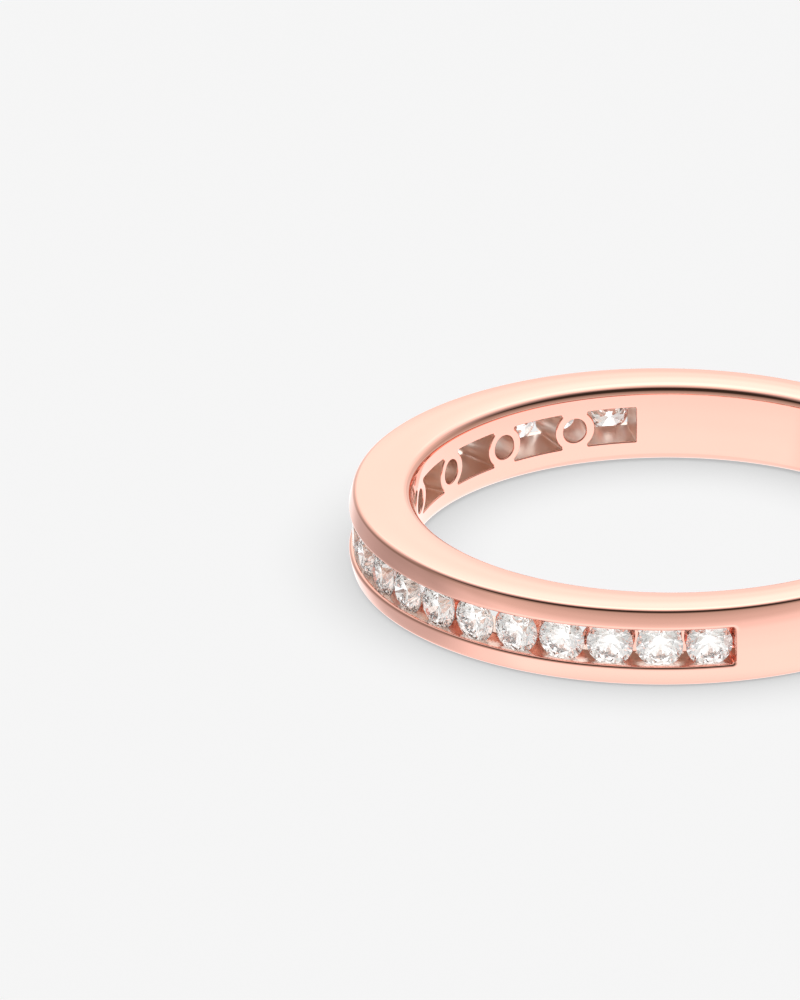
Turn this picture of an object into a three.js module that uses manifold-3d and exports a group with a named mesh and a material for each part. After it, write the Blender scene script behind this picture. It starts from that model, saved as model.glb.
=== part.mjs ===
// Wedding band: a half-eternity ring. One cast rose-gold band carries twenty round brilliants in a channel
// that runs round half of it, over a pierced gallery that lets light into them from behind.
//
// Millimetres. +Z is the finger axis, the origin is the centre of the outside at mid-width, and -Y is the
// head of the ring, the middle of the stone row.
import * as THREE from 'three';
import { ConvexGeometry } from 'three/addons/geometries/ConvexGeometry.js';
import * as BufferGeometryUtils from 'three/addons/utils/BufferGeometryUtils.js';
import Module from 'manifold-3d';

// ---- Driving dimensions ------------------------------------------------------------------------------

// Band
const fingerDiameter = 16.8;    // ring size 53, at mid-width
const boreShift = 0.28;         // the bore sits this far towards the back, so the head is the thicker side
const edgeToEdge = 2.7;         // across the band's outer edges
const sideTilt = 6;             // degrees that the crowned side faces lean over at their edges
const edgeRadius = 10.115;      // outside of the band where the dome would meet a side face
const outerFillet = 0.2;
const boreSwell = 0.06;         // comfort fit: how much wider the bore is where its rounded edges begin
const boreFillet = 0.36;        // rounding of the bore's two edges

// Channel
const lipRadius = 10.285;       // outside of the two rails at the channel's lips
const channelHeight = 1.26;     // between the rails
const channelFloorRadius = 9.55;
const endClearance = 0.03;      // from the first and last girdle to the channel's end walls

// Stones: round brilliants
const stoneCount = 20;
const stonePitch = 9.4;         // degrees from one stone to the next
const stoneDiameter = 1.54;
const girdleRadius = 9.9;       // from the ring's axis to the middle of each girdle
const girdleThickness = 0.047;
const mainFacets = 8;           // kite facets round the crown, and main facets round the pavilion
const tableRatio = 0.55;        // table, corner to corner, as a share of the stone's diameter
const crownAngle = 34.5;        // degrees
const pavilionAngle = 40.8;     // degrees
const starLength = 0.5;         // how far the star facets reach from the table's edge to the girdle
const lowerHalfLength = 0.77;   // how far the lower-half facets reach from the girdle to the culet
const seatGap = 0.03;           // between a stone and the notch that a rail has for it

// Gallery: round holes under the odd stones, wide windows under the even ones
const holeDiameter = 0.82;
const windowHeight = 1.22;
const windowLength = 2.04;      // from corner to corner
const windowWaist = 1.36;       // at mid-height, where the sides bow in round the neighbouring holes
const endWindowReach = 0.735;   // from its middle to the straight side of the window that ends the row
const windowTaper = 7;          // degrees that each wall leans in on its way out to the stone

// Fineness of the faceted surfaces
const ringSteps = 72;
const domeSteps = 6;
const boreSteps = 6;
const crownSteps = 5;           // an odd number, so that the middle of a side face is flat
const filletSteps = 2;
const seatSteps = 16;
const holeSteps = 16;
const windowSideSteps = 4;

// ---- Derived values ----------------------------------------------------------------------------------

const degree = Math.PI / 180;
const boreRadius = fingerDiameter / 2;
const edgeHeight = edgeToEdge / 2;
const tilt = sideTilt * degree;
const halfChannel = channelHeight / 2;
const stoneRadius = stoneDiameter / 2;
const headAngle = -90 * degree;
const overcut = 0.3;            // how far a cutter runs past the surface that it opens

// The outside is a dome: an arc through the side faces' edges and the lips, centred on mid-width.
const domeCentre = (lipRadius ** 2 - edgeRadius ** 2 + halfChannel ** 2 - edgeHeight ** 2)
  / (2 * (lipRadius - edgeRadius));
const domeRadius = Math.hypot(edgeRadius - domeCentre, edgeHeight);
const crestRadius = domeCentre + domeRadius;
const outerTop = edgeHeight - outerFillet * Math.cos(tilt);
const domeReach = Math.asin(outerTop / (domeRadius - outerFillet));
const outerFilletCentre = domeCentre + Math.cos(domeReach) * (domeRadius - outerFillet);

// The bore's wall is an arc too: it swells towards the finger, most at mid-width.
const boreTop = edgeHeight - boreFillet * Math.cos(tilt);
const swellRadius = (boreTop ** 2 + boreSwell ** 2) / (2 * boreSwell);
const swellCentre = boreRadius + swellRadius;
const swellReach = Math.asin(boreTop / (swellRadius - boreFillet));
const boreFilletCentre = swellCentre - Math.cos(swellReach) * (swellRadius - boreFillet);

// Each side face is a shallow crown between its two edges.
const outerEdge = outerFilletCentre + outerFillet * Math.sin(tilt);
const boreEdge = boreFilletCentre - boreFillet * Math.sin(tilt);
const sideCrown = (outerEdge - boreEdge) * Math.tan(tilt) / 4;

const halfRow = (stoneCount - 1) / 2 * stonePitch * degree;
const halfSlot = halfRow + (stoneRadius + endClearance) / girdleRadius;

const gold = new THREE.MeshStandardMaterial({ color: '#efb8a0', roughness: 0.1, metalness: 1 });
const diamond = new THREE.MeshStandardMaterial({ color: '#f6f9fb', roughness: 0.02, metalness: 0 });

const wasm = await Module();
wasm.setup();

// ---- Solids ------------------------------------------------------------------------------------------

// A closed three.js geometry as a solid that can be joined and cut.
function toSolid(geometry) {
  geometry.deleteAttribute('normal');
  geometry.deleteAttribute('uv');
  const merged = BufferGeometryUtils.mergeVertices(geometry);
  const triVerts = [];
  for (let i = 0; i < merged.index.count; i += 3) {
    const corners = [0, 1, 2].map((step) => merged.index.getX(i + step));
    if (new Set(corners).size === 3) {
      triVerts.push(...corners);
    }
  }
  return new wasm.Manifold(new wasm.Mesh({
    numProp: 3,
    vertProperties: Float32Array.from(merged.attributes.position.array),
    triVerts: Uint32Array.from(triVerts),
  }));
}

function toGeometry(solid) {
  const cut = solid.getMesh();
  const geometry = new THREE.BufferGeometry();
  geometry.setAttribute('position', new THREE.BufferAttribute(cut.vertProperties, 3));
  geometry.setIndex(new THREE.BufferAttribute(cut.triVerts, 1));
  geometry.computeVertexNormals();
  return geometry;
}

function arcPoints(centre, radius, from, to, steps) {
  const points = [];
  for (let i = 0; i <= steps; i += 1) {
    const angle = THREE.MathUtils.lerp(from, to, i / steps);
    points.push(new THREE.Vector2(centre.x + radius * Math.cos(angle), centre.y + radius * Math.sin(angle)));
  }
  return points;
}

// A lathed shape stands along +Z instead of three.js's +Y.
function latheAlongZ(points, steps) {
  return new THREE.LatheGeometry(points, steps).rotateX(Math.PI / 2);
}

// The direction of stone 1, 2, ... seen from the ring's axis. The row runs clockwise, from +X to -X.
function stoneAngle(number) {
  return headAngle + halfRow - (number - 1) * stonePitch * degree;
}

// Places something drawn with its own +Z outwards and +Y along the finger, at a radius on a stone's axis.
function placeOnAxis(angle, radius) {
  const outward = new THREE.Vector3(Math.cos(angle), Math.sin(angle), 0);
  const along = new THREE.Vector3(0, 0, 1);
  const sideways = new THREE.Vector3().crossVectors(along, outward);
  return new THREE.Matrix4()
    .makeBasis(sideways, along, outward)
    .setPosition(outward.clone().multiplyScalar(radius));
}

// The bore is round about its own centre, so its wall's distance from the origin changes round the ring. This
// is the distance at mid-width.
function boreDistance(angle) {
  const lean = boreShift * Math.sin(angle);
  return lean + Math.sqrt(lean ** 2 - boreShift ** 2 + boreRadius ** 2);
}

// ---- Band --------------------------------------------------------------------------------------------

// The crown of a side face, from its outer edge to its bore edge.
function crownPoints() {
  const points = [];
  const flat = 1 / crownSteps;
  for (let i = 1; i < crownSteps; i += 1) {
    const across = 2 * i / crownSteps - 1;
    const rise = sideCrown * (1 - across ** 2) / (1 - flat ** 2);
    const radius = THREE.MathUtils.lerp(outerEdge, boreEdge, i / crownSteps);
    points.push(new THREE.Vector2(radius, edgeHeight + rise));
  }
  return points;
}

// The plain band: a section turned round the finger axis, with its bore side moved towards the back.
function shankGeometry() {
  const quarter = Math.PI / 2;
  const upperHalf = [
    ...arcPoints(new THREE.Vector2(domeCentre, 0), domeRadius, 0, domeReach, domeSteps / 2).slice(0, -1),
    ...arcPoints(new THREE.Vector2(outerFilletCentre, outerTop), outerFillet, domeReach, quarter - tilt,
      filletSteps),
    ...crownPoints(),
    ...arcPoints(new THREE.Vector2(boreFilletCentre, boreTop), boreFillet, quarter + tilt,
      Math.PI - swellReach, filletSteps),
    ...arcPoints(new THREE.Vector2(swellCentre, 0), swellRadius, Math.PI - swellReach, Math.PI,
      boreSteps / 2).slice(1),
  ];
  const lowerHalf = upperHalf.slice(1, -1).map((point) => new THREE.Vector2(point.x, -point.y)).reverse();
  const geometry = latheAlongZ([...upperHalf, ...lowerHalf, upperHalf[0].clone()], ringSteps);
  const position = geometry.attributes.position;
  for (let i = 0; i < position.count; i += 1) {
    const radius = Math.hypot(position.getX(i), position.getY(i));
    const boreShare = THREE.MathUtils.clamp((outerEdge - radius) / (outerEdge - boreEdge), 0, 1);
    position.setY(i, position.getY(i) + boreShift * boreShare);
  }
  return geometry;
}

// The channel between the rails, open to the outside.
function channelGeometry() {
  const sector = new THREE.Shape();
  const outside = crestRadius + overcut;
  sector.absarc(0, 0, outside, headAngle - halfSlot, headAngle + halfSlot, false);
  sector.absarc(0, 0, channelFloorRadius, headAngle + halfSlot, headAngle - halfSlot, true);
  const curveSegments = Math.round(ringSteps * halfSlot / Math.PI);
  const options = { depth: channelHeight, bevelEnabled: false, curveSegments };
  return new THREE.ExtrudeGeometry(sector, options).translate(0, 0, -halfChannel);
}

// What a setting burr cuts for one stone: a spindle that leaves a notch in each rail for the girdle.
function seatGeometry(angle) {
  const reach = stoneRadius + seatGap;
  const halfBand = girdleThickness / 2 + seatGap;
  const spindle = [
    new THREE.Vector2(0, -halfBand - reach),
    new THREE.Vector2(reach, -halfBand),
    new THREE.Vector2(reach, halfBand),
    new THREE.Vector2(0, halfBand + reach),
  ];
  return latheAlongZ(spindle, seatSteps).applyMatrix4(placeOnAxis(angle, girdleRadius));
}

// A round hole from the bore to the channel.
function holeGeometry(angle) {
  const start = boreDistance(angle) - overcut;
  const end = channelFloorRadius + overcut;
  return new THREE.CylinderGeometry(holeDiameter / 2, holeDiameter / 2, end - start, holeSteps)
    .rotateX(Math.PI / 2)
    .applyMatrix4(placeOnAxis(angle, (start + end) / 2));
}

// One side of a window's outline, from its lower corner to its upper one: an arc that bows in to the waist.
function bowedSide(direction) {
  const corner = windowLength / 2;
  const bow = corner - windowWaist / 2;
  const rise = windowHeight / 2;
  const radius = (bow ** 2 + rise ** 2) / (2 * bow);
  const sweep = Math.asin(rise / radius);
  const centre = new THREE.Vector2(windowWaist / 2 + radius, 0);
  return arcPoints(centre, radius, Math.PI + sweep, Math.PI - sweep, windowSideSteps)
    .map((point) => new THREE.Vector2(direction * point.x, point.y));
}

function straightSide(direction) {
  const rise = windowHeight / 2;
  return [-rise, rise].map((y) => new THREE.Vector2(direction * endWindowReach, y));
}

// A window from the bore to the channel, whose walls lean in with depth. The last one has a straight end.
function windowGeometry(angle, endsRow) {
  const farSide = endsRow ? straightSide(-1) : bowedSide(-1);
  const outline = new THREE.Shape([...bowedSide(1), ...farSide.reverse()]);
  const bore = boreDistance(angle);
  const depth = channelFloorRadius + overcut - (bore - overcut);
  const geometry = new THREE.ExtrudeGeometry(outline, { depth, bevelEnabled: false });
  geometry.translate(0, 0, -overcut);
  const position = geometry.attributes.position;
  for (let i = 0; i < position.count; i += 1) {
    const lean = position.getZ(i) * Math.tan(windowTaper * degree);
    position.setX(i, position.getX(i) * (1 - lean / (windowLength / 2)));
    position.setY(i, position.getY(i) * (1 - lean / (windowHeight / 2)));
  }
  return geometry.applyMatrix4(placeOnAxis(angle, bore));
}

function bandGeometry() {
  let band = toSolid(shankGeometry()).subtract(toSolid(channelGeometry()));
  for (let number = 1; number <= stoneCount; number += 1) {
    const angle = stoneAngle(number);
    const overWindow = number % 2 === 0;
    const opening = overWindow ? windowGeometry(angle, number === stoneCount) : holeGeometry(angle);
    band = band.subtract(toSolid(opening)).subtract(toSolid(seatGeometry(angle)));
  }
  return toGeometry(band);
}

// ---- Stones ------------------------------------------------------------------------------------------

// A round brilliant with its table towards +Z and the middle of its girdle at the origin: the hull of its
// facets' corners.
function brilliantGeometry() {
  const halfGirdle = girdleThickness / 2;
  const table = stoneRadius * tableRatio;
  const crownHeight = (stoneRadius - table) * Math.tan(crownAngle * degree);
  const pavilionDepth = stoneRadius * Math.tan(pavilionAngle * degree);
  const between = Math.PI / mainFacets;

  const tableEdge = table * Math.cos(between);
  const star = tableEdge + starLength * (stoneRadius - tableEdge);
  const starHeight = crownHeight - (star * Math.cos(between) - table) * Math.tan(crownAngle * degree);
  const junction = stoneRadius * (1 - lowerHalfLength);
  const junctionDepth = pavilionDepth - junction * Math.cos(between) * Math.tan(pavilionAngle * degree);

  const ring = (radius, height, start, count) => Array.from({ length: count }, (_, i) => {
    const angle = start + i / count * Math.PI * 2;
    return new THREE.Vector3(radius * Math.cos(angle), radius * Math.sin(angle), height);
  });
  return new ConvexGeometry([
    ...ring(table, halfGirdle + crownHeight, 0, mainFacets),
    ...ring(star, halfGirdle + starHeight, between, mainFacets),
    ...ring(stoneRadius, halfGirdle, 0, 2 * mainFacets),
    ...ring(stoneRadius, -halfGirdle, 0, 2 * mainFacets),
    ...ring(junction, -halfGirdle - junctionDepth, between, mainFacets),
    new THREE.Vector3(0, 0, -halfGirdle - pavilionDepth),
  ]);
}

// ---- Assembly ----------------------------------------------------------------------------------------

const ringGroup = new THREE.Group();

const band = new THREE.Mesh(bandGeometry(), gold);
band.name = 'band';
ringGroup.add(band);

const brilliant = brilliantGeometry();
for (let number = 1; number <= stoneCount; number += 1) {
  const stone = new THREE.Mesh(brilliant, diamond);
  stone.name = `diamond_${String(number).padStart(2, '0')}`;
  stone.applyMatrix4(placeOnAxis(stoneAngle(number), girdleRadius));
  ringGroup.add(stone);
}

export default ringGroup;
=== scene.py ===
import math
import random

import bmesh
import bpy
import numpy as np
from mathutils import Matrix, Vector
from mathutils.geometry import delaunay_2d_cdt

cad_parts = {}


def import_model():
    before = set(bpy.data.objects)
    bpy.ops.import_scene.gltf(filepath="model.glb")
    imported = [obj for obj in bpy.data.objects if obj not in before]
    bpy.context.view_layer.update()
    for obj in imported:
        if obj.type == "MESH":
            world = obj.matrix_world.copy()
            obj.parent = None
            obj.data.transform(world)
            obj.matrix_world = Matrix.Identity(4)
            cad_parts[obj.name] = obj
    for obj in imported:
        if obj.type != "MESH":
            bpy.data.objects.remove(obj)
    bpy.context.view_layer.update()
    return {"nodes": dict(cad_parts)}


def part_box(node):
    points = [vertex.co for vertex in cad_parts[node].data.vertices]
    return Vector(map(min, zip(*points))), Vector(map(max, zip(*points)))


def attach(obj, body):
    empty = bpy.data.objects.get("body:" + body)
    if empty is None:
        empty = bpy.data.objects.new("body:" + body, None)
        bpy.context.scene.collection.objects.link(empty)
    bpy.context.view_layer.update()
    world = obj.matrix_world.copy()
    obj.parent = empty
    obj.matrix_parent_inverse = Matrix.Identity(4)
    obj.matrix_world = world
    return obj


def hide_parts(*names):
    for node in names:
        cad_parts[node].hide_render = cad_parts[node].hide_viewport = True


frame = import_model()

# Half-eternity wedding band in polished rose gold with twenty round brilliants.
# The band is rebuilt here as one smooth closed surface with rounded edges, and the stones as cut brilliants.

# ---- Driving dimensions, in millimetres and degrees ------------------------------------------------------

MM = 0.001                      # the meshes are worked out in millimetres and made in metres

BORE_RADIUS = 8.4               # at mid-width
BORE_SWELL = 0.06               # comfort fit: how much wider the bore is where its rounded edges begin
BORE_SHIFT = 0.28               # the bore sits this far towards the back, which is +Y
EDGE_HEIGHT = 1.35              # the band's outer edges, from mid-width
EDGE_RADIUS = 10.115            # outside of the band where the dome would meet a side face
SIDE_TILT = math.radians(6)     # how far the crowned side faces lean over at their edges
LIP_RADIUS = 10.285             # outside of the rails at the channel's lips
OUTER_FILLET = 0.2
BORE_FILLET = 0.36
CHANNEL_HEIGHT = 1.26
CHANNEL_FLOOR = 9.55            # radius of the channel's floor
CHANNEL_CORNER = 0.11           # rounding of the channel's four corners, seen from outside
LIP_FILLET = 0.15
END_CLEARANCE = 0.03            # from the end stones' girdles to the channel's end walls

GIRDLE_THICKNESS = 0.047
GIRDLE_ROUGHNESS = 0.35         # the girdle is ground and not polished
GIRDLE_BLEND = 0.002            # over which the grinding gives way to the facets' polish
TABLE_RATIO = 0.55
CROWN_ANGLE = 34.5
PAVILION_ANGLE = 40.8
STAR_LENGTH = 0.5
LOWER_HALF_LENGTH = 0.77
MAIN_FACETS = 8

NOTCH_GAP = 0.006               # between a girdle and its notch in the rail
NOTCH_SLOPE = 42

HOLE_RADIUS = 0.41
WINDOW_HEIGHT = 1.22
WINDOW_LENGTH = 2.04
WINDOW_WAIST = 1.36
END_WINDOW_REACH = 0.735
WINDOW_CORNER = 0.05
WINDOW_TAPER = 7                # how far a window's walls lean in on their way out to the stone
GALLERY_FILLET = 0.05

CAMERA_AZIMUTH = 80.1           # from the head of the ring, towards +X
CAMERA_ELEVATION = 23.3
CAMERA_DISTANCE = 1000.0
FRAME_HEIGHT = 32.876           # what the picture's long side takes in at the ring
RING_TO_THE_RIGHT = 8.585       # where the ring's middle is, from the middle of the frame
RING_BELOW = 0.79

# What the gold and the stones mirror: how bright each height above the horizon is, in degrees, a soft panel
# behind the ring, by the angle from its middle, and a flag on the left that holds some of the light back.
SURROUND = [
    (-90, 1.15), (-60, 1.15), (-45, 1.33), (-30, 1.32), (-20, 1.27), (-10, 1.2), (-4, 1.02), (2, 0.76),
    (10, 0.54), (20, 0.45), (30, 0.27), (38, 0.04), (64, 0.04), (72, 0.3), (90, 0.3),
]
SHADE_WARMTH = (0.0, 0.08, 0.25)  # how much red, green and blue the surround loses as it darkens
FULL_LIGHT = 1.1                # the surround is neutral from here up
PANEL = [(0, 1.9), (15, 1.75), (24, 1.35), (32, 0.93), (40, 0.6), (50, 0.25), (62, 0.0)]
PANEL_HEIGHT = 55               # degrees above the back horizon
FLAG = [(0, 0.4), (25, 0.5), (45, 0.85), (58, 1.0)]
FLAG_TURN = 115                 # degrees to the left of the camera
FLAG_HEIGHT = -12
STONE_LIGHT = 2.0               # an even light that only the stones' facets pick up
STONE_LIGHT_SHARE = 0.25        # of what a stone passes on
BRIGHTEST = 2.0                 # the world's strength; the tables above are stated up to it
OVERHEAD_HEIGHT = 0.5           # metres
OVERHEAD_SIZE = 1.2
OVERHEAD_POWER = 2.81           # watts
FLOOR_GLOW = 0.5                # the floor is a light table, which fills in its own shadows
FLOOR_SIZE = 4.0                # metres

# ---- Derived from the CAD frame --------------------------------------------------------------------------

BAND_LOW, BAND_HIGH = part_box("band")
SIDE_CROWN = BAND_HIGH.z / MM - EDGE_HEIGHT
STONE_NODES = sorted(name for name in frame["nodes"] if name.startswith("diamond"))


def stone_place(name):
    """The middle of a CAD stone's girdle, the direction that its table faces, and its radius."""
    points = np.array([v.co for v in frame["nodes"][name].data.vertices]) / MM
    outward = points.mean(0) * (1, 1, 0)
    outward /= np.linalg.norm(outward)
    off_axis = np.linalg.norm(points - np.outer(points @ outward, outward), axis=1)
    girdle = off_axis > 0.999 * off_axis.max()
    return np.outer(points @ outward, outward)[girdle].mean(0), outward, off_axis.max()


STONES = [stone_place(name) for name in STONE_NODES]
STONE_RADIUS = STONES[0][2]
GIRDLE_RADIUS = float(np.linalg.norm(STONES[0][0]))
HALF_CHANNEL = CHANNEL_HEIGHT / 2
HEAD = -math.pi / 2

# The outside is a dome: an arc through the side faces' edges and the lips, centred on mid-width.
DOME_CENTRE = (LIP_RADIUS**2 - EDGE_RADIUS**2 + HALF_CHANNEL**2 - EDGE_HEIGHT**2) / (
    2 * (LIP_RADIUS - EDGE_RADIUS)
)
DOME_RADIUS = math.hypot(EDGE_RADIUS - DOME_CENTRE, EDGE_HEIGHT)
OUTER_TOP = EDGE_HEIGHT - OUTER_FILLET * math.cos(SIDE_TILT)
DOME_REACH = math.asin(OUTER_TOP / (DOME_RADIUS - OUTER_FILLET))
OUTER_FILLET_CENTRE = DOME_CENTRE + math.cos(DOME_REACH) * (DOME_RADIUS - OUTER_FILLET)
DOME_TOP = DOME_RADIUS * math.sin(DOME_REACH)

# The bore's wall is an arc too: it swells towards the finger, most at mid-width.
BORE_TOP = EDGE_HEIGHT - BORE_FILLET * math.cos(SIDE_TILT)
SWELL_RADIUS = (BORE_TOP**2 + BORE_SWELL**2) / (2 * BORE_SWELL)
SWELL_CENTRE = BORE_RADIUS + SWELL_RADIUS
SWELL_REACH = math.asin(BORE_TOP / (SWELL_RADIUS - BORE_FILLET))
SWELL_TOP = SWELL_RADIUS * math.sin(SWELL_REACH)
BORE_FILLET_CENTRE = SWELL_CENTRE - math.cos(SWELL_REACH) * (SWELL_RADIUS - BORE_FILLET)
BORE_CENTRE = np.array((0, BORE_SHIFT, 0))


def angle_from_head(direction):
    """Anticlockwise from the head, seen from +Z."""
    angle = math.atan2(direction[1], direction[0]) - HEAD
    return (angle + math.pi) % (2 * math.pi) - math.pi


ROW_ANGLES = [angle_from_head(outward) for _, outward, _ in STONES]
HALF_SLOT = max(map(abs, ROW_ANGLES)) + (STONE_RADIUS + END_CLEARANCE) / GIRDLE_RADIUS

# Fineness
COLUMNS = 360                   # round the ring
FILLET_STEPS = 6
CROWN_STEPS = 12
HOLE_STEPS = 48
WAIST_STEPS = 24                # along a window's bowed side
SILL_STEPS = 16
WINDOW_SIDE_STEPS = 8           # along the straight side of the row's last window
NOTCH_TURN_STEPS = 16
NOTCH_SLOPE_STEPS = 6
DOME_ROWS = 20
BORE_ROWS = 18
BELT_SPACING = (0.18, 0.12)     # millimetres along the ring and across it
FLOOR_SPACING = (0.5, 0.3)
WALL_SPACING = (2.0, 2.0)
CLEAR_OF_BORDER = 0.45          # no filling point is nearer to a border point than this share of the spacing
GIRDLE_SIDES = 96

# The band's two finishes, in the order of its material slots. The satin one is also painted lighter, as
# painted light in the recesses.
POLISHED, SATIN_PAINTED_LIGHT = 0, 1


# ---- A closed surface made of patches --------------------------------------------------------------------


class Surface:
    """Patches that meet point to point. Each patch brings its own exact normals, so edges stay crisp.

    The finish is that of the patches that are added next.
    """

    def __init__(self):
        self.points = []
        self.normals = []
        self.faces = []
        self.finishes = []
        self.finish = POLISHED
        self.count = 0

    def add(self, points, normals, faces):
        self.points.append(np.reshape(points, (-1, 3)))
        self.normals.append(np.reshape(normals, (-1, 3)))
        self.faces += [[corner + self.count for corner in face] for face in faces]
        self.finishes += [self.finish] * len(faces)
        self.count += len(self.points[-1])

    def grid(self, points, normals, closed=False):
        """Rows of equal length, joined into quads; a closed grid joins the last column to the first."""
        rows, columns = points.shape[:2]
        faces = []
        for row in range(rows - 1):
            for column in range(columns if closed else columns - 1):
                nearby = (column + 1) % columns
                low, high = row * columns, (row + 1) * columns
                faces.append([low + column, low + nearby, high + nearby, high + column])
        self.add(points, normals, faces)

    def to_mesh(self, name):
        points = np.concatenate(self.points)
        normals = np.concatenate(self.normals)
        normals /= np.linalg.norm(normals, axis=1)[:, None]
        keys = np.round(points * 1e6).astype(np.int64)
        _, first, merged = np.unique(keys, axis=0, return_index=True, return_inverse=True)
        merged = merged.ravel()
        faces, corners, finishes = [], [], []
        for face, finish in zip(self.faces, self.finishes):
            kept = [c for i, c in enumerate(face) if merged[c] != merged[face[i - 1]]]
            if len(kept) < 3:
                continue
            around = np.cross(points[kept[1]] - points[kept[0]], points[kept[2]] - points[kept[0]])
            if around @ normals[kept].sum(0) < 0:
                kept.reverse()
            faces.append([int(merged[c]) for c in kept])
            corners += kept
            finishes.append(finish)
        mesh = bpy.data.meshes.new(name)
        mesh.from_pydata((points[first] * MM).tolist(), [], faces, shade_flat=False)
        mesh.normals_split_custom_set(normals[corners].tolist())
        mesh.polygons.foreach_set("material_index", finishes)
        return mesh


def polar(radius, angle, z):
    """Points from cylindrical coordinates; the angle is anticlockwise from the head."""
    radius, angle, z = np.broadcast_arrays(radius, angle, z)
    return np.stack([radius * np.cos(HEAD + angle), radius * np.sin(HEAD + angle), z], axis=-1)


def anticlockwise(loop):
    x, y = loop.T
    return loop if x @ np.roll(y, -1) > y @ np.roll(x, -1) else loop[::-1]


def fill(outline, holes, spacing, to_surface, to_normal, surface):
    """Fills a flat outline, less its holes, with triangles, and lays them on a surface."""
    loops = [anticlockwise(np.asarray(loop)) for loop in [outline, *holes]]
    low, high = loops[0].min(0), loops[0].max(0)
    steps = np.maximum(np.ceil((high - low) / spacing).astype(int), 1)
    axes = [np.linspace(low[i], high[i], steps[i] + 1)[1:-1] for i in (0, 1)]
    inner = np.stack(np.meshgrid(*axes, indexing="ij"), axis=-1).reshape(-1, 2)
    border = np.concatenate(loops)
    keep = np.ones(len(inner), bool)
    for point in border:
        keep &= ((inner - point) ** 2).sum(1) > (CLEAR_OF_BORDER * min(spacing)) ** 2
    flat = np.concatenate([border, inner[keep]])
    starts = np.cumsum([0] + [len(loop) for loop in loops])
    rings = [list(range(starts[i], starts[i + 1])) for i in range(len(loops))]
    made = delaunay_2d_cdt([Vector(p) for p in flat], [], rings, 1, 1e-6)
    source = [ids[0] for ids in made[3]]
    faces = [[source[c] for c in face] for face, inside in zip(made[2], made[5]) if list(inside) == [0]]
    surface.add(to_surface(flat), to_normal(flat), faces)


# ---- Band ------------------------------------------------------------------------------------------------


def dome_radius_at(z):
    return DOME_CENTRE + np.sqrt(DOME_RADIUS**2 - np.square(z))


def bore_radius_at(z):
    return SWELL_CENTRE - np.sqrt(SWELL_RADIUS**2 - np.square(z))


def bore_point(angle, z):
    return polar(bore_radius_at(z), angle, z) + BORE_CENTRE


def bore_normal(points):
    """Out of the bore's swelling wall, towards the finger."""
    flat = (points - BORE_CENTRE) * (1, 1, 0)
    radius = np.linalg.norm(flat, axis=1)[:, None]
    return (flat * (1 - SWELL_CENTRE / radius) + points * (0, 0, 1)) / SWELL_RADIUS


def side_faces_and_fillets(surface):
    """The parts of the plain band that no opening cuts: crowned side faces and the fillets at their edges."""
    angle = np.linspace(-math.pi, math.pi, COLUMNS, endpoint=False)
    across = np.linspace(-1, 1, CROWN_STEPS + 1)[:, None, None]
    for side in (1, -1):
        up = np.array((0, 0, side))
        sweep = np.linspace(DOME_REACH, math.pi / 2 - SIDE_TILT, FILLET_STEPS + 1)[:, None]
        outer = polar(
            OUTER_FILLET_CENTRE + OUTER_FILLET * np.cos(sweep),
            angle,
            side * (OUTER_TOP + OUTER_FILLET * np.sin(sweep)),
        )
        outer_normal = polar(np.cos(sweep), angle, side * np.sin(sweep))

        sweep = np.linspace(SWELL_REACH, math.pi / 2 - SIDE_TILT, FILLET_STEPS + 1)[:, None]
        bore = BORE_CENTRE + polar(
            BORE_FILLET_CENTRE - BORE_FILLET * np.cos(sweep),
            angle,
            side * (BORE_TOP + BORE_FILLET * np.sin(sweep)),
        )
        bore_edge_normal = polar(-np.cos(sweep), angle, side * np.sin(sweep))

        inward = (bore[-1] - outer[-1]) / 2
        reach = np.linalg.norm(inward, axis=1)[:, None]
        crown = (outer[-1] + bore[-1]) / 2 + across * inward + SIDE_CROWN * (1 - across**2) * up
        crown_normal = up + across * 2 * SIDE_CROWN * inward / reach**2
        outer_normal[-1] = crown_normal[0]
        bore_edge_normal[-1] = crown_normal[-1]
        surface.grid(outer, outer_normal, closed=True)
        surface.grid(bore, bore_edge_normal, closed=True)
        surface.grid(crown, crown_normal, closed=True)


def arc(centre, radius, start, end, steps):
    """Points along an arc, and the directions that lead away from its centre."""
    angle = np.linspace(start, end, steps + 1)[:, None]
    away = np.concatenate([np.cos(angle), np.sin(angle)], axis=1)
    return np.asarray(centre) + radius * away, away


def chain(*pieces):
    """Joins pieces of an outline, each with its outward directions, and drops repeated points."""
    points = np.concatenate([p for p, _ in pieces])
    away = np.concatenate([a for _, a in pieces])
    fresh = np.linalg.norm(points - np.roll(points, -1, axis=0), axis=1) > 1e-7
    return points[fresh], away[fresh]


def line(start, end, away, steps):
    share = np.linspace(0, 1, steps + 1)[:, None]
    return np.asarray(start) * (1 - share) + np.asarray(end) * share, np.tile(away, (steps + 1, 1))


def mirrored(outline, across):
    """The same piece of outline on the other side, run the other way round."""
    points, away = outline
    return points[::-1] * across, away[::-1] * across


def slot_outline():
    """The channel's mouth, unrolled: distance along the lips, and height."""
    reach = HALF_SLOT * LIP_RADIUS
    corner = (reach - CHANNEL_CORNER, HALF_CHANNEL - CHANNEL_CORNER)
    steps = round(COLUMNS * HALF_SLOT / math.pi)
    lip = line((-corner[0], -HALF_CHANNEL), (corner[0], -HALF_CHANNEL), (0, -1), steps)
    lower = arc((corner[0], -corner[1]), CHANNEL_CORNER, -math.pi / 2, 0, FILLET_STEPS)
    end = line((reach, -corner[1]), (reach, corner[1]), (1, 0), FILLET_STEPS)
    upper = mirrored(lower, (1, -1))
    right = [lower, end, upper]
    left = [mirrored(piece, (-1, 1)) for piece in reversed(right)]
    return chain(lip, *right, mirrored(lip, (1, -1)), *left)


def hole_outline():
    return chain(arc((0, 0), HOLE_RADIUS, 0, 2 * math.pi, HOLE_STEPS))


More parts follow.
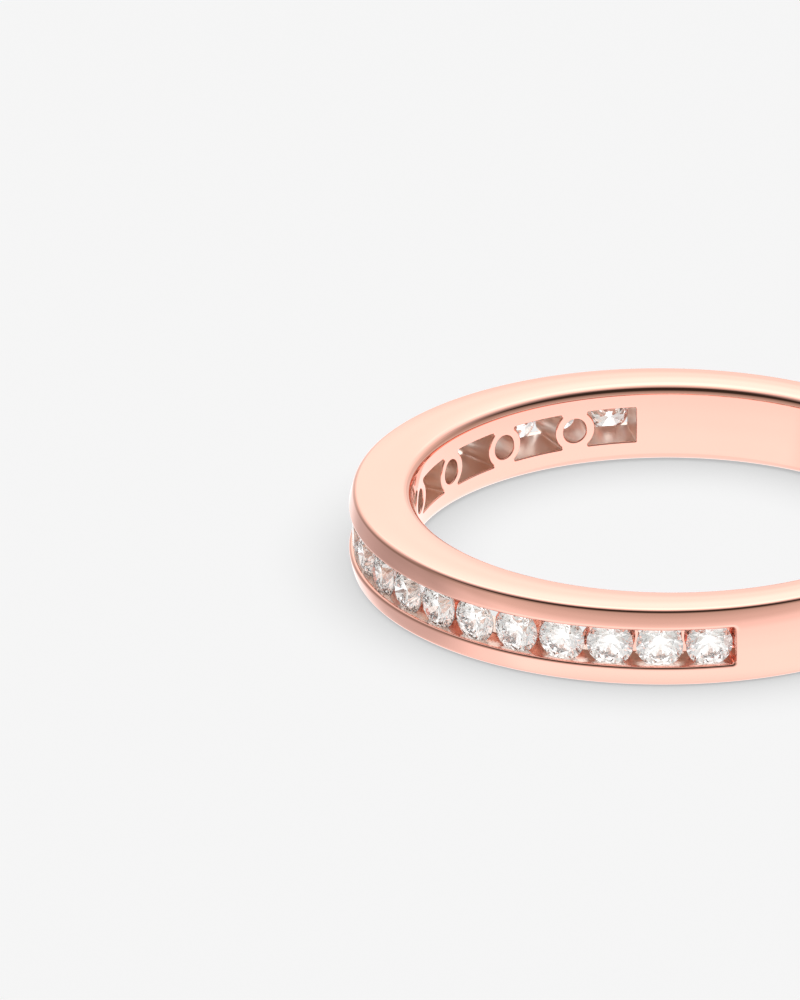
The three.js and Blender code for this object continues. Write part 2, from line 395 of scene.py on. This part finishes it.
def window_outline(ends_row):
    """A window as seen from the finger: flat above and below, with sides that bow in round the holes."""
    rise = WINDOW_HEIGHT / 2
    bow = (WINDOW_LENGTH - WINDOW_WAIST) / 2
    radius = (bow**2 + rise**2) / (2 * bow)
    centre = WINDOW_WAIST / 2 + radius
    corner_x = centre - math.sqrt((radius + WINDOW_CORNER) ** 2 - (rise - WINDOW_CORNER) ** 2)
    turn = math.atan2(rise - WINDOW_CORNER, centre - corner_x)
    lower = arc((corner_x, WINDOW_CORNER - rise), WINDOW_CORNER, -math.pi / 2, turn, FILLET_STEPS)
    waist, from_centre = arc((centre, 0), radius, math.pi + turn, math.pi - turn, WAIST_STEPS)
    bowed = [lower, (waist, -from_centre), mirrored(lower, (1, -1))]
    far = bowed
    far_x = corner_x
    if ends_row:
        far_x = END_WINDOW_REACH - WINDOW_CORNER
        low = arc((far_x, WINDOW_CORNER - rise), WINDOW_CORNER, -math.pi / 2, 0, FILLET_STEPS)
        side = line(
            (END_WINDOW_REACH, WINDOW_CORNER - rise), (END_WINDOW_REACH, rise - WINDOW_CORNER), (1, 0),
            WINDOW_SIDE_STEPS,
        )
        far = [low, side, mirrored(low, (1, -1))]
    left = [mirrored(piece, (-1, 1)) for piece in reversed(far)]
    sill = line((-far_x, -rise), (corner_x, -rise), (0, -1), SILL_STEPS)
    return chain(sill, *bowed, mirrored(sill, (1, -1)), *left)


def wall_normals(top, bottom, middle):
    """Normals of the straight wall between two loops, towards the middle of the opening."""
    along = np.roll(top, -1, axis=0) - np.roll(top, 1, axis=0)
    normal = np.cross(along, bottom - top)
    normal /= np.linalg.norm(normal, axis=1)[:, None]
    facing = ((middle - top) * normal).sum(1)
    return normal * np.where(facing.sum() < 0, -1, 1)


def opening(surface, outline, away, at, face_normal, bottom, fillet):
    """An opening's rounded edge, where its wall down to the bottom loop begins.

    at(outline, depth) gives the points at a depth below the face.
    Returns the flat outline at which the face begins, and the wall's top loop and normals.
    """
    edge = at(outline, fillet)
    wall = wall_normals(edge, bottom, (bottom.mean(0) + edge.mean(0)) / 2)
    mouth = outline + away * fillet
    face = face_normal(at(mouth, 0))
    rows, normals = [], []
    for turn in np.linspace(0, math.pi / 2, FILLET_STEPS + 1):
        offset = fillet * (1 - math.sin(turn))
        rows.append(at(outline + away * offset, fillet * (1 - math.cos(turn))))
        normals.append(math.cos(turn) * face + math.sin(turn) * wall)
    surface.grid(np.array(rows), np.array(normals), closed=True)
    return mouth, rows[-1], wall


def strip_wall(surface, top, bottom, normal):
    """A stretch of straight wall between two rows of points."""
    surface.grid(np.stack([top, bottom]), np.stack([normal, normal]))


def notch(surface, place, side):
    """The notch that a setting burr leaves in one rail for a stone's girdle.

    Returns its outline in the rail's wall.
    """
    girdle, outward, stone_radius = place
    sideways = np.cross((0, 0, 1), outward)
    widest = stone_radius + NOTCH_GAP
    half_band = GIRDLE_THICKNESS / 2 + NOTCH_GAP
    slope = math.radians(NOTCH_SLOPE)
    reach = half_band + (widest - HALF_CHANNEL) * math.tan(slope)

    def rows(levels, cone):
        radius = widest - np.maximum(np.abs(levels) - half_band, 0) / math.tan(slope)
        across = np.arccos(np.minimum(HALF_CHANNEL / radius, 1))
        turn = across[:, None] * np.linspace(-1, 1, NOTCH_TURN_STEPS + 1)
        radial = np.sin(turn)[..., None] * sideways + side * np.cos(turn)[..., None] * np.array((0, 0, 1))
        points = girdle + levels[:, None, None] * outward + radius[:, None, None] * radial
        normals = -radial if cone == 0 else -radial * math.sin(slope) - cone * math.cos(slope) * outward
        surface.grid(points, normals)
        return points

    lower = rows(np.linspace(-reach, -half_band, NOTCH_SLOPE_STEPS + 1), -1)
    band = rows(np.array([-half_band, half_band]), 0)
    upper = rows(np.linspace(half_band, reach, NOTCH_SLOPE_STEPS + 1), 1)
    left = np.concatenate([lower[:, 0], band[1:, 0], upper[1:, 0]])
    right = np.concatenate([lower[1:, -1], band[1:, -1], upper[1:-1, -1]])
    return np.concatenate([left, right[::-1]])[:, :2]


def channel(surface, floor_openings):
    """The channel with its rounded lips. Returns the outline of its mouth in the dome."""
    outline, away = slot_outline()

    def at(flat, depth):
        return polar(dome_radius_at(flat[:, 1]) - depth, flat[:, 0] / LIP_RADIUS, flat[:, 1])

    def floor_at(flat):
        return polar(CHANNEL_FLOOR, flat[:, 0] / LIP_RADIUS, flat[:, 1])

    bottom = floor_at(outline)
    mouth, top, wall = opening(surface, outline, away, at, dome_normal, bottom, LIP_FILLET)
    for side in (-1, 1):
        # Satin gold on the channel's side walls, painted lighter as painted light
        surface.finish = SATIN_PAINTED_LIGHT
        run = np.flatnonzero(np.isclose(outline[:, 1], side * HALF_CHANNEL))
        notches = [notch(surface, place, side) for place in STONES]
        fill(
            np.concatenate([top[run], bottom[run][::-1]])[:, :2],
            notches,
            WALL_SPACING,
            lambda flat: np.c_[flat, np.full(len(flat), side * HALF_CHANNEL)],
            lambda flat: np.tile((0.0, 0.0, -side), (len(flat), 1)),
            surface,
        )
        surface.finish = POLISHED
        end = (run[-1] + np.arange(len(outline) // 2)) % len(outline)
        upto = 1 + np.flatnonzero(np.isclose(outline[end, 1], -side * HALF_CHANNEL))[0]
        strip_wall(surface, top[end[:upto]], bottom[end[:upto]], wall[end[:upto]])
    fill(outline, floor_openings, FLOOR_SPACING, floor_at,
         lambda flat: floor_at(flat) * (1, 1, 0), surface)
    return mouth


def gallery_opening(surface, place, number):
    """A hole or a window. Returns its outline in the bore's wall and in the channel's floor, unrolled."""
    _, outward, _ = place
    sideways = np.cross((0, 0, 1), outward)
    under_window = number % 2 == 0
    outline, away = window_outline(number == len(STONES)) if under_window else hole_outline()

    def at(flat, depth):
        u, v = flat.T
        off_centre = u - sideways @ BORE_CENTRE
        w = outward @ BORE_CENTRE + np.sqrt(bore_radius_at(v) ** 2 - off_centre**2)
        return (w + depth)[:, None] * outward + u[:, None] * sideways + v[:, None] * np.array((0, 0, 1))

    low = outline
    if under_window:
        depth = CHANNEL_FLOOR - np.linalg.norm(at(np.zeros((1, 2)), 0))
        lean = depth * math.tan(math.radians(WINDOW_TAPER))
        low = outline * (1 - lean / (WINDOW_LENGTH / 2), 1 - lean / (WINDOW_HEIGHT / 2))
    height = np.sqrt(CHANNEL_FLOOR**2 - low[:, 0] ** 2)
    bottom = height[:, None] * outward + low[:, :1] * sideways + low[:, 1:] * np.array((0, 0, 1))
    mouth, top, wall = opening(surface, outline, away, at, bore_normal, bottom, GALLERY_FILLET)
    # Satin gold on the opening's wall, painted lighter as painted light
    surface.finish = SATIN_PAINTED_LIGHT
    surface.grid(np.stack([top, bottom]), np.stack([wall, wall]), closed=True)
    surface.finish = POLISHED

    in_bore = at(mouth, 0)
    bore_angle = [angle_from_head(p - BORE_CENTRE) for p in in_bore]
    floor_angle = [angle_from_head(p) for p in bottom]
    return (
        np.c_[np.multiply(bore_angle, BORE_RADIUS), in_bore[:, 2]],
        np.c_[np.multiply(floor_angle, LIP_RADIUS), bottom[:, 2]],
    )


def dome_normal(points):
    radius = np.linalg.norm(points[:, :2], axis=1)
    share = (radius - DOME_CENTRE) / radius
    return np.c_[points[:, :2] * share[:, None], points[:, 2]] / DOME_RADIUS


def unrolled_belt(radius, top, rows):
    """The outline of a belt that runs once round the ring, cut open at the back."""
    along = np.linspace(-math.pi, math.pi, COLUMNS + 1) * radius
    up = np.linspace(-top, top, rows + 1)[1:-1]
    return np.concatenate([
        np.c_[along, np.full(len(along), -top)],
        np.c_[np.full(len(up), along[-1]), up],
        np.c_[along[::-1], np.full(len(along), top)],
        np.c_[np.full(len(up), along[0]), up[::-1]],
    ])


def band_mesh():
    surface = Surface()
    side_faces_and_fillets(surface)
    openings = [gallery_opening(surface, place, i + 1) for i, place in enumerate(STONES)]
    mouth = channel(surface, [floor for _, floor in openings])

    def dome_at(flat):
        return polar(dome_radius_at(flat[:, 1]), flat[:, 0] / LIP_RADIUS, flat[:, 1])

    def bore_at(flat):
        return bore_point(flat[:, 0] / BORE_RADIUS, flat[:, 1])

    fill(unrolled_belt(LIP_RADIUS, DOME_TOP, DOME_ROWS), [mouth], BELT_SPACING, dome_at,
         lambda flat: dome_normal(dome_at(flat)), surface)
    bore_mouths = [bore for bore, _ in openings]
    fill(unrolled_belt(BORE_RADIUS, SWELL_TOP, BORE_ROWS), bore_mouths, BELT_SPACING, bore_at,
         lambda flat: bore_normal(bore_at(flat)), surface)
    return surface.to_mesh("band_smooth")


# ---- Stones ----------------------------------------------------------------------------------------------


def facet_planes():
    """Each facet of a round brilliant as three points of its plane. The table faces +Z."""
    between = math.pi / MAIN_FACETS
    half_girdle = GIRDLE_THICKNESS / 2
    crown, pavilion = math.tan(math.radians(CROWN_ANGLE)), math.tan(math.radians(PAVILION_ANGLE))
    table = STONE_RADIUS * TABLE_RATIO
    star = table * math.cos(between) * (1 - STAR_LENGTH) + STONE_RADIUS * STAR_LENGTH
    lower = STONE_RADIUS * (1 - LOWER_HALF_LENGTH)
    table_height = half_girdle + (STONE_RADIUS - table) * crown
    star_height = half_girdle + (STONE_RADIUS - star * math.cos(between)) * crown
    lower_height = -half_girdle - (STONE_RADIUS - lower * math.cos(between)) * pavilion
    culet = (0, 0, -half_girdle - STONE_RADIUS * pavilion)

    def point(radius, turn, height):
        return radius * math.cos(turn * between), radius * math.sin(turn * between), height

    planes = [[point(table, turn, table_height) for turn in (0, 2, 4)]]
    for turn in range(0, 2 * MAIN_FACETS, 2):
        corner = point(table, turn, table_height)
        top = point(STONE_RADIUS, turn, half_girdle)
        bottom = point(STONE_RADIUS, turn, -half_girdle)
        planes.append([corner, point(star, turn - 1, star_height), point(star, turn + 1, star_height)])
        planes.append([corner, point(table, turn + 2, table_height), point(star, turn + 1, star_height)])
        planes.append([culet, point(lower, turn - 1, lower_height), point(lower, turn + 1, lower_height)])
        for way in (-1, 1):
            neighbour = turn + way
            planes.append([
                top, point(star, neighbour, star_height), point(STONE_RADIUS, neighbour, half_girdle),
            ])
            planes.append([
                bottom, point(lower, neighbour, lower_height), point(STONE_RADIUS, neighbour, -half_girdle),
            ])
    return planes


def brilliant_mesh(name):
    """A stone cut the way a cutter does it: a round blank, and one flat for each facet."""
    bm = bmesh.new()
    bmesh.ops.create_cone(
        bm, cap_ends=True, segments=GIRDLE_SIDES, radius1=STONE_RADIUS, radius2=STONE_RADIUS,
        depth=2 * STONE_RADIUS,
    )
    for a, b, c in facet_planes():
        a, b, c = Vector(a), Vector(b), Vector(c)
        normal = (b - a).cross(c - a).normalized()
        if normal.dot(a) < 0:
            normal.negate()
        cut = bmesh.ops.bisect_plane(
            bm, geom=bm.verts[:] + bm.edges[:] + bm.faces[:], plane_co=a, plane_no=normal, clear_outer=True,
            dist=1e-5,
        )
        edges = [item for item in cut["geom_cut"] if isinstance(item, bmesh.types.BMEdge)]
        open_edges = [edge for edge in edges if edge.is_boundary]
        if open_edges:
            bmesh.ops.edgeloop_fill(bm, edges=open_edges)
    bmesh.ops.recalc_face_normals(bm, faces=bm.faces)
    bmesh.ops.scale(bm, vec=(MM, MM, MM), verts=bm.verts)
    mesh = bpy.data.meshes.new(name)
    bm.to_mesh(mesh)
    bm.free()
    return mesh


# ---- Materials -------------------------------------------------------------------------------------------


def new_material(name):
    material = bpy.data.materials.new(name)
    material.use_nodes = True
    nodes = material.node_tree.nodes
    return material, nodes, material.node_tree.links, nodes["Principled BSDF"]


def rose_gold():
    """Mirror-polished 18-carat rose gold, with the faint haze of a worn polish."""
    material, nodes, links, shader = new_material("rose_gold")
    shader.inputs["Metallic"].default_value = 1.0
    place = nodes.new("ShaderNodeTexCoord")

    tone = nodes.new("ShaderNodeTexNoise")
    tone.inputs["Scale"].default_value = 300
    tone.inputs["Detail"].default_value = 3
    links.new(place.outputs["Object"], tone.inputs["Vector"])
    colour = nodes.new("ShaderNodeMix")
    colour.name = "colour"
    colour.data_type = "RGBA"
    colour.inputs["A"].default_value = (0.985, 0.53, 0.435, 1)
    colour.inputs["B"].default_value = (0.995, 0.55, 0.455, 1)
    links.new(tone.outputs["Fac"], colour.inputs["Factor"])
    links.new(colour.outputs["Result"], shader.inputs["Base Color"])

    haze = nodes.new("ShaderNodeTexNoise")
    haze.inputs["Scale"].default_value = 1500
    haze.inputs["Detail"].default_value = 4
    links.new(place.outputs["Object"], haze.inputs["Vector"])
    roughness = nodes.new("ShaderNodeMapRange")
    roughness.name = "roughness"
    roughness.inputs["To Min"].default_value = 0.03
    roughness.inputs["To Max"].default_value = 0.09
    links.new(haze.outputs["Fac"], roughness.inputs["Value"])
    links.new(roughness.outputs["Result"], shader.inputs["Roughness"])
    return material


def satin_gold_painted_light():
    """The same gold where no polishing wheel reaches, on the channel's side walls and in the gallery:
    rougher, and painted lighter and paler than the polished gold as painted light, since little light gets
    into these recesses.
    """
    material = rose_gold().copy()
    material.name = "rose_gold_satin_painted_light"
    nodes = material.node_tree.nodes
    nodes["roughness"].inputs["To Min"].default_value = 0.25
    nodes["roughness"].inputs["To Max"].default_value = 0.4
    # Lighter and paler than the polished gold: painted light for recesses that little light reaches
    nodes["colour"].inputs["A"].default_value = (0.99, 0.82, 0.74, 1)
    nodes["colour"].inputs["B"].default_value = (0.995, 0.85, 0.77, 1)
    return material


def diamond():
    """Clear stone with a ground girdle and polished facets."""
    material, nodes, links, shader = new_material("diamond")
    shader.inputs["Base Color"].default_value = (1, 1, 1, 1)
    shader.inputs["Transmission Weight"].default_value = 1.0
    shader.inputs["IOR"].default_value = 2.42
    place = nodes.new("ShaderNodeTexCoord")
    height = nodes.new("ShaderNodeSeparateXYZ")
    links.new(place.outputs["Object"], height.inputs["Vector"])
    size = nodes.new("ShaderNodeMath")
    size.operation = "ABSOLUTE"
    links.new(height.outputs["Z"], size.inputs[0])
    girdle = nodes.new("ShaderNodeMapRange")
    girdle.inputs["From Min"].default_value = GIRDLE_THICKNESS / 2 * MM
    girdle.inputs["From Max"].default_value = (GIRDLE_THICKNESS / 2 + GIRDLE_BLEND) * MM
    girdle.inputs["To Min"].default_value = GIRDLE_ROUGHNESS
    girdle.inputs["To Max"].default_value = 0.0
    links.new(size.outputs["Value"], girdle.inputs["Value"])
    links.new(girdle.outputs["Result"], shader.inputs["Roughness"])
    return material


def paper():
    material, nodes, links, shader = new_material("floor")
    shader.inputs["Base Color"].default_value = (0.9, 0.9, 0.9, 1)
    shader.inputs["Roughness"].default_value = 0.9
    shader.inputs["Specular IOR Level"].default_value = 0.0
    shader.inputs["Emission Color"].default_value = (1, 1, 1, 1)
    shader.inputs["Emission Strength"].default_value = FLOOR_GLOW
    return material


# ---- The object ------------------------------------------------------------------------------------------


def add(name, mesh, *materials):
    piece = bpy.data.objects.new(name, mesh)
    for material in materials:
        mesh.materials.append(material)
    bpy.context.scene.collection.objects.link(piece)
    return piece


def stand_for(node, piece):
    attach(piece, "root")
    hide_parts(node)


glass = diamond()
stand_for("band", add("band_polished", band_mesh(), rose_gold(), satin_gold_painted_light()))

rng = random.Random(7)
for node, (girdle, outward, _) in zip(STONE_NODES, STONES):
    mesh = brilliant_mesh(node + "_cut")
    turn = Matrix.Rotation(rng.uniform(0, 2 * math.pi / MAIN_FACETS), 4, "Z")
    stone = add(node + "_cut", mesh, glass)
    facing = Vector(outward).to_track_quat("Z", "Y").to_matrix().to_4x4()
    stone.matrix_world = Matrix.Translation(Vector(girdle) * MM) @ facing @ turn
    stand_for(node, stone)


# ---- Stage -----------------------------------------------------------------------------------------------


def floor():
    half = FLOOR_SIZE / 2
    low = BAND_LOW.z
    mesh = bpy.data.meshes.new("floor")
    corners = [(-half, -half, low), (half, -half, low), (half, half, low), (-half, half, low)]
    mesh.from_pydata(corners, [], [(0, 1, 2, 3)])
    plane = add("floor", mesh, paper())
    plane.visible_glossy = False
    plane.visible_transmission = False


def camera():
    azimuth, elevation = math.radians(CAMERA_AZIMUTH), math.radians(CAMERA_ELEVATION)
    back = Vector((
        math.sin(azimuth) * math.cos(elevation), -math.cos(azimuth) * math.cos(elevation), math.sin(elevation)
    ))
    upright = back.to_track_quat("Z", "Y")
    target = upright @ Vector((-RING_TO_THE_RIGHT, RING_BELOW, 0))
    data = bpy.data.cameras.new("camera")
    data.lens = data.sensor_width * CAMERA_DISTANCE / FRAME_HEIGHT
    view = bpy.data.objects.new("camera", data)
    view.location = back * CAMERA_DISTANCE * MM
    view.rotation_mode = "QUATERNION"
    view.rotation_quaternion = (back * CAMERA_DISTANCE - target).to_track_quat("Z", "Y")
    bpy.context.scene.collection.objects.link(view)
    bpy.context.scene.camera = view


def world():
    """The studio round the ring: a surround, a soft panel behind, a flag, and a filler for the stones.

    The gold and the stones mirror it. The floor is lit by the overhead light and its own glow alone, so its
    shadows stay even.
    """
    made = bpy.data.worlds.new("studio")
    made.use_nodes = True
    nodes, links = made.node_tree.nodes, made.node_tree.links
    place = nodes.new("ShaderNodeTexCoord")
    azimuth = math.radians(CAMERA_AZIMUTH)
    front = Vector((math.sin(azimuth), -math.cos(azimuth), 0))
    left = Vector((-math.cos(azimuth), -math.sin(azimuth), 0))
    top = Vector((0, 0, 1))

    def towards(turn, height):
        """The direction at a turn to the left of the camera and a height above the horizon, in degrees."""
        turn, height = math.radians(turn), math.radians(height)
        return (front * math.cos(turn) + left * math.sin(turn)) * math.cos(height) + top * math.sin(height)

    def combine(operation, first, second):
        node = nodes.new("ShaderNodeVectorMath")
        node.operation = operation
        links.new(first, node.inputs[0])
        links.new(second, node.inputs[1])
        return node.outputs["Vector"]

    def colour_by_angle(direction, stops):
        """Blends colours by the angle from a direction."""
        dot = nodes.new("ShaderNodeVectorMath")
        dot.operation = "DOT_PRODUCT"
        dot.inputs[1].default_value = direction
        links.new(place.outputs["Generated"], dot.inputs[0])
        angle = nodes.new("ShaderNodeMath")
        angle.operation = "ARCCOSINE"
        links.new(dot.outputs["Value"], angle.inputs[0])
        share = nodes.new("ShaderNodeMath")
        share.operation = "DIVIDE"
        share.inputs[1].default_value = math.pi
        links.new(angle.outputs["Value"], share.inputs[0])
        ramp = nodes.new("ShaderNodeValToRGB")
        ramp.color_ramp.interpolation = "EASE"
        elements = ramp.color_ramp.elements
        while len(elements) < len(stops):
            elements.new(0.5)
        for element, (degrees, colour) in zip(elements, stops):
            element.position = degrees / 180
            element.color = (*colour, 1)
        links.new(share.outputs["Value"], ramp.inputs["Fac"])
        return ramp.outputs["Color"]

    def warm(light):
        shade = max(0, 1 - light / FULL_LIGHT)
        return [light / BRIGHTEST * (1 - shade * loss) for loss in SHADE_WARMTH]

    surround = colour_by_angle(-top, [(90 + degrees, warm(light)) for degrees, light in SURROUND])
    panel_stops = [(turn, [light / BRIGHTEST] * 3) for turn, light in PANEL]
    panel = colour_by_angle(towards(180, PANEL_HEIGHT), panel_stops)
    flag = colour_by_angle(towards(FLAG_TURN, FLAG_HEIGHT), [(turn, [share] * 3) for turn, share in FLAG])
    studio = combine("ADD", combine("MULTIPLY", surround, flag), panel)

    path = nodes.new("ShaderNodeLightPath")
    filler = nodes.new("ShaderNodeMath")
    filler.operation = "MULTIPLY"
    filler.inputs[1].default_value = STONE_LIGHT_SHARE
    links.new(path.outputs["Is Transmission Ray"], filler.inputs[0])
    mixed = nodes.new("ShaderNodeMix")
    mixed.data_type = "RGBA"
    mixed.inputs["B"].default_value = (*[STONE_LIGHT / BRIGHTEST] * 3, 1)
    links.new(filler.outputs["Value"], mixed.inputs["Factor"])
    links.new(studio, mixed.inputs["A"])

    background = nodes["Background"]
    links.new(mixed.outputs["Result"], background.inputs["Color"])
    background.inputs["Strength"].default_value = BRIGHTEST
    bpy.context.scene.world = made
    made.cycles_visibility.diffuse = False


def overhead():
    """A wide soft light for the floor, which the polished gold doesn't mirror."""
    data = bpy.data.lights.new("overhead", "AREA")
    data.shape = "DISK"
    data.size = OVERHEAD_SIZE
    data.energy = OVERHEAD_POWER
    light = bpy.data.objects.new("overhead", data)
    light.location = (0, 0, OVERHEAD_HEIGHT)
    light.visible_glossy = False
    light.visible_transmission = False
    bpy.context.scene.collection.objects.link(light)


floor()
camera()
world()
overhead()
bpy.context.scene.view_settings.view_transform = "Standard"
cycles = bpy.context.scene.cycles
cycles.caustics_reflective = False
cycles.caustics_refractive = False
cycles.max_bounces = 24
cycles.glossy_bounces = 16
cycles.transmission_bounces = 24
